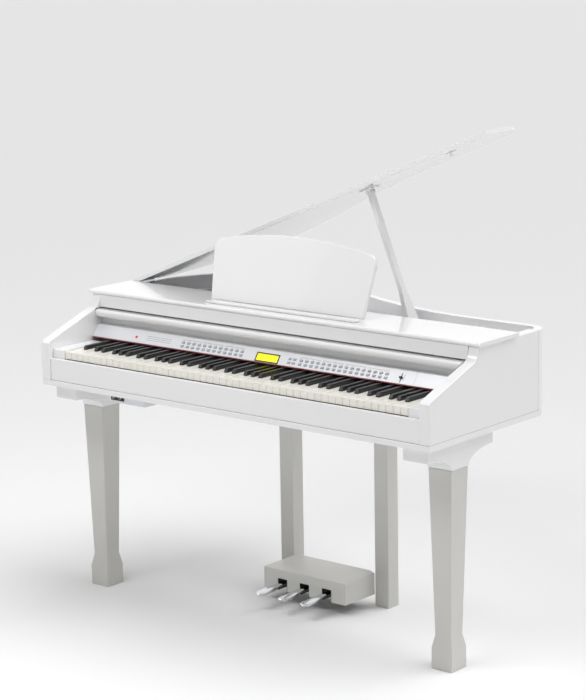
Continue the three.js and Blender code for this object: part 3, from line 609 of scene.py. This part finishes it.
def pedalSlotShadeLiners():  # black plastic that lines each slot and runs back inside the box: bushings at the slot, and behind it dark strips that are painted shade, standing in for the shade inside the box
    bm = bmesh.new()
    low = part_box("pedal_box")[0]
    front, wall = low[1] + 0.6 * mm, pedal["lining"] * mm
    back = low[1] + (pedal["slotDeep"] + pedal["shadeLinerDeep"]) * mm
    half, top = (pedal["slotHalf"] - 0.1) * mm, (pedal["slotTop"] - 0.1) * mm
    bottom = low[2] + 1 * mm
    for part in ("left_pedal", "middle_pedal", "right_pedal"):
        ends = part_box(part)
        middle = (ends[0][0] + ends[1][0]) / 2
        for side in (-1, 1):
            across = sorted((middle + side * half, middle + side * (half - wall)))
            addBox(bm, (across[0], front, bottom), (across[1], back, top - wall))
        addBox(bm, (middle - half, front, top - wall), (middle + half, back, top))
    keep(bm, "pedal_slot_liners_painted_shade", "black_plastic", "case")


for part in ("left_pedal", "middle_pedal", "right_pedal"):
    spoonPedal(part)
pedalSlotShadeLiners()
print("pedals cast")


# ---- hinges, screws, catch and prop bracket

lidJoint = next(j for j in frame["joints"] if j["name"] == "lid_hinge")
lidOpen = 22.0
onLid = turned(lidJoint["pos_m"], "Y", -lidOpen)
hardware = {  # places in mm; deep is measured from the cabinet's front edge
    "lidLeafScrews": ((10, 404), (10, 440), (10, 476), (21, 422), (21, 458)),  # along and deep
    "lidLeafSunk": 0.85,
    "backToMiddle": 404.5,  # from that edge to the middle of the floor space
    "boardScrewsAcross": (-660, -350, 0, 350, 660),
    "boardScrewsDeep": (18, 330),  # from the board's own front edge
    "tailScrewsAcross": (-600, -300, -50),
    "tailScrewDeep": 600,
    "bracketInset": 16,
    "bracketDrop": 39.7,
    "pinPlate": (1242.5, 418, 7.1),  # on the lid: along, deep and up
    "pinScrews": (-10, 10),
    "propBracket": (915, 457, -2.2),
    "propScrewsAlong": (-18, 18),
    "propScrewsDeep": (-15, 15),
    # part: edge radius
    "plated": {
        "lid_hinge_case_leaf": 0.25,
        "lid_hinge_lid_leaf": 0.25,
        "desk_hinge_board_leaf": 0.2,
        "desk_hinge_desk_leaf": 0.2,
        "catch_plate": 0.3,
        "lid_catch_pin": 0.5,
        "prop_bracket": 0.4,
    },
}

for part, edge in hardware["plated"].items():
    shape = copyOf(part)
    roundEdges(shape, edge * mm, 2)
    keep(shape, part + "_plated", "chrome", bodyOf(part), stands=[part], sharp=40)


def caseScrews():
    bm = bmesh.new()
    hingeX, _, hingeZ = lidJoint["pos_m"]
    for along, deep in hardware["lidLeafScrews"]:
        place = (hingeX + along * mm, (deep - hardware["backToMiddle"]) * mm,
                 hingeZ - hardware["lidLeafSunk"] * mm)
        addScrew(bm, Matrix.Translation(place), 2.2 * mm, 0.5 * mm)
    keep(bm, "case_screws", "chrome", "case")


def undersideScrews():  # round heads that hold the brackets and the bottom board
    bm = bmesh.new()
    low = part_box("bottom_board")[0]
    spots = [(x, deep) for x in hardware["boardScrewsAcross"] for deep in hardware["boardScrewsDeep"]]
    spots += [(x, hardware["tailScrewDeep"]) for x in hardware["tailScrewsAcross"]]
    for x, deep in spots:
        addScrew(bm, turned((x * mm, low[1] + deep * mm, low[2] + 0.1 * mm), "X", 180), 4 * mm, 1.6 * mm)
    inset = hardware["bracketInset"] * mm
    for part in ("left_bracket", "right_bracket"):
        low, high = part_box(part)
        for side in (0.25, 0.75):
            for y in (low[1] + inset, high[1] - inset):
                place = (low[0] + (high[0] - low[0]) * side, y, high[2] - hardware["bracketDrop"] * mm)
                addScrew(bm, turned(place, "X", 180), 4 * mm, 1.4 * mm)
    keep(bm, "underside_screws", "steel", "case")


def lidScrews():
    bm = bmesh.new()

    def addToLid(spot, besideX, besideY, radius, height):
        along, deep, up = spot
        place = ((along + besideX) * mm, (deep - hardware["backToMiddle"] + besideY) * mm, up * mm)
        addScrew(bm, onLid @ turned(place, "X", 180), radius * mm, height * mm)

    for side in hardware["pinScrews"]:
        addToLid(hardware["pinPlate"], side, 0, 1.8, 0.5)
    for along in hardware["propScrewsAlong"]:
        for deep in hardware["propScrewsDeep"]:
            addToLid(hardware["propBracket"], along, deep, 2.4, 1.0)
    keep(bm, "lid_screws", "steel", "lid")


caseScrews()
undersideScrews()
lidScrews()
print("hardware fitted")


# ---- sockets, inlet, grilles, speakers and boards

fittings = {
    "socketInset": 12.0,  # from the ends of the block
    "socketOuter": 5.4,
    "socketInner": 3.6,
    "slatPitch": 5.0,
    "slatWide": 2.6,
    "grilleBorder": 8.0,
    "inletPins": ((-9, -2), (0, 3), (9, -2)),  # across and up from the middle
    "chips": 5,
    "chipStart": 35,
    "chipPitch": 48,
}


def socketRings():  # threaded nuts round the two jack holes
    bm = bmesh.new()
    low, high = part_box("headphone_sockets")
    inset = fittings["socketInset"] * mm
    for across in (low[0] + inset, high[0] - inset):
        place = turned((across, low[1] + 2.0 * mm, (low[2] + high[2]) / 2), "X", 90)
        outer = fittings["socketOuter"] * mm
        made = addDisc(bm, outer, outer * 0.92, 2.6 * mm, place, 32)
        front = [f for f in {f for v in made for f in v.link_faces} if f.normal.y < -0.95]
        wall = (fittings["socketOuter"] * 0.92 - fittings["socketInner"]) * mm
        bmesh.ops.inset_region(bm, faces=front, thickness=wall)
        for face in front:
            bmesh.ops.translate(bm, vec=(0, 2.2 * mm, 0), verts=face.verts)
    keep(bm, "socket_nuts", "chrome", "case")


def powerInlet():  # a recessed mains inlet that faces the back, with three flat pins
    bm = copyOf("power_inlet")
    low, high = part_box("power_inlet")
    back = [f for f in bm.faces if f.normal.y > 0.95]
    bmesh.ops.inset_region(bm, faces=back, thickness=4 * mm)
    for face in back:
        bmesh.ops.translate(bm, vec=(0, -16 * mm, 0), verts=face.verts)
    roundEdges(bm, 0.8 * mm, 2)
    middle = ((low[0] + high[0]) / 2, (low[2] + high[2]) / 2)
    keep(bm, "power_inlet_shell", "black_plastic", "case", stands=["power_inlet"])
    bm = bmesh.new()
    for across, up in fittings["inletPins"]:
        x = middle[0] + across * mm
        z = middle[1] + up * mm
        addBox(bm, (x - 1 * mm, high[1] - 16.5 * mm, z - 2 * mm), (x + 1 * mm, high[1] - 3 * mm, z + 2 * mm))
    roundEdges(bm, 0.4 * mm, 2)
    keep(bm, "power_inlet_pins", "steel", "case")


def slottedGrille(part):  # a moulded frame with rows of thin slats
    low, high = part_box(part)
    border = fittings["grilleBorder"] * mm
    pitch = fittings["slatPitch"] * mm
    wide = fittings["slatWide"] * mm
    bm = bmesh.new()
    bars = [
        (low, (high[0], low[1] + border, high[2])),
        ((low[0], high[1] - border, low[2]), high),
        ((low[0], low[1] + border, low[2]), (low[0] + border, high[1] - border, high[2])),
        ((high[0] - border, low[1] + border, low[2]), (high[0], high[1] - border, high[2])),
    ]
    for first, last in bars:
        addBox(bm, first, last)
    y = low[1] + border + pitch - wide
    while y + wide < high[1] - border:
        addBox(bm, (low[0] + border, y, low[2] + 0.3 * mm), (high[0] - border, y + wide, high[2] - 0.5 * mm))
        y += pitch
    keep(bm, part + "_slats", "grille_grey", "case", stands=[part], weighted=False)


def loudspeaker(part):  # pressed basket, rolled surround, paper cone and dust cap, facing down
    low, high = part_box(part)
    middle = Vector(((low[0] + high[0]) / 2, (low[1] + high[1]) / 2, low[2]))
    profile = [  # distance from the axis and height, mm
        (0, 14), (10, 13), (18, 17), (22, 21), (40, 11), (54, 3.5), (58, 1.5), (63, 1.2), (67, 3.5),
        (71, 2.2), (83, 0.6), (84, 3.4), (64, 7), (44, 34), (40, 36), (40, 57), (0, 57),
    ]
    bm = bmesh.new()
    line = [bm.verts.new(middle + Vector((radius * mm, 0, height * mm))) for radius, height in profile]
    edges = [bm.edges.new(pair) for pair in zip(line, line[1:])]
    bmesh.ops.spin(bm, geom=line + edges, cent=middle, axis=(0, 0, 1), angle=math.tau, steps=48,
                   use_merge=True)
    bmesh.ops.remove_doubles(bm, verts=bm.verts, dist=0.01 * mm)
    bmesh.ops.recalc_face_normals(bm, faces=bm.faces)
    keep(bm, part + "_cone", "cone", "case", stands=[part], sharp=40)


def boardParts():  # chips and capacitors on the main board
    low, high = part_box("main_board")
    bm = bmesh.new()
    for i in range(fittings["chips"]):
        x = low[0] + (fittings["chipStart"] + i * fittings["chipPitch"]) * mm
        addBox(bm, (x, low[1] + 30 * mm, high[2]), (x + 22 * mm, low[1] + 52 * mm, high[2] + 2.4 * mm))
        foot = Matrix.Translation((x + 8 * mm, low[1] + 95 * mm, high[2]))
        addDisc(bm, 6 * mm, 5.6 * mm, 14 * mm, foot, 20)
    keep(bm, "board_chips", "black_plastic", "case")


socketRings()
powerInlet()
slottedGrille("left_grille")
slottedGrille("right_grille")
loudspeaker("left_speaker")
loudspeaker("right_speaker")
boardParts()
shape = copyOf("headphone_box")
roundEdges(shape, 1.5 * mm)
keep(shape, "headphone_box_painted", "panel_silver", "case", stands=["headphone_box"])
print("fittings made")


# ---- finishes of the parts that stay as they are

keptParts = {
    "control_panel": "panel_silver",
    "panel_end": "panel_silver",
    "display_window": "screen_yellow",
    "key_frame": "black_plastic",
    "cover_rod": "steel",
    "left_cover_guide": "steel",
    "right_cover_guide": "steel",
    "pedal_axle": "steel",
    "power_supply": "steel",
    "main_board": "circuit_board",
    "headphone_sockets": "black_plastic",
}
for part, finish in keptParts.items():
    nodes[part].material_slots[0].material = finishes[finish]


# ---- the studio

def addStudio():
    world = bpy.data.worlds.new("studio")
    bpy.context.scene.world = world
    world.use_nodes = True
    tree = world.node_tree
    seen = addNode(tree, "ShaderNodeLightPath")
    bright = addNode(tree, "ShaderNodeMath", {"operation": "MAXIMUM"}, i0=seen.outputs["Is Camera Ray"],
                     i1=seen.outputs["Is Glossy Ray"]).outputs["Value"]
    tree.links.new(spread(tree, bright, studio["skyPower"], studio["backdrop"], 0.0, 1.0),
                   tree.nodes["Background"].inputs["Strength"])
    tree.nodes["Background"].inputs["Color"].default_value = (1, 1, 1, 1)
    bpy.context.scene.view_settings.view_transform = "Standard"
    origin, power, softness = studio["skylight"]
    sun = bpy.data.lights.new("skylight", "SUN")
    sun.energy = power
    sun.angle = math.radians(softness)
    holder = bpy.data.objects.new("skylight", sun)
    holder.rotation_euler = Vector(origin).to_track_quat("Z", "Y").to_euler()
    bpy.context.scene.collection.objects.link(holder)
    for name, (place, aim, size, power) in studio["lamps"].items():
        lamp = bpy.data.lights.new(name, "AREA")
        lamp.shape = "RECTANGLE"
        lamp.size, lamp.size_y = size
        lamp.energy = power
        holder = bpy.data.objects.new(name, lamp)
        holder.location = place
        holder.rotation_euler = (Vector(aim) - Vector(place)).to_track_quat("-Z", "Y").to_euler()
        bpy.context.scene.collection.objects.link(holder)
    bm = bmesh.new()
    bmesh.ops.create_grid(bm, x_segments=1, y_segments=1, size=30)
    mesh = bpy.data.meshes.new("floor")
    bm.to_mesh(mesh)
    bm.free()
    mat, tree, shader = surface("studio_paper", studio["floor"], 0.9)
    bump(tree, shader, grain(tree, 3 * mm), 0.05 * mm, 0.2)
    mesh.materials.append(mat)
    floor = bpy.data.objects.new("floor", mesh)
    bpy.context.scene.collection.objects.link(floor)


addStudio()
print("studio set")
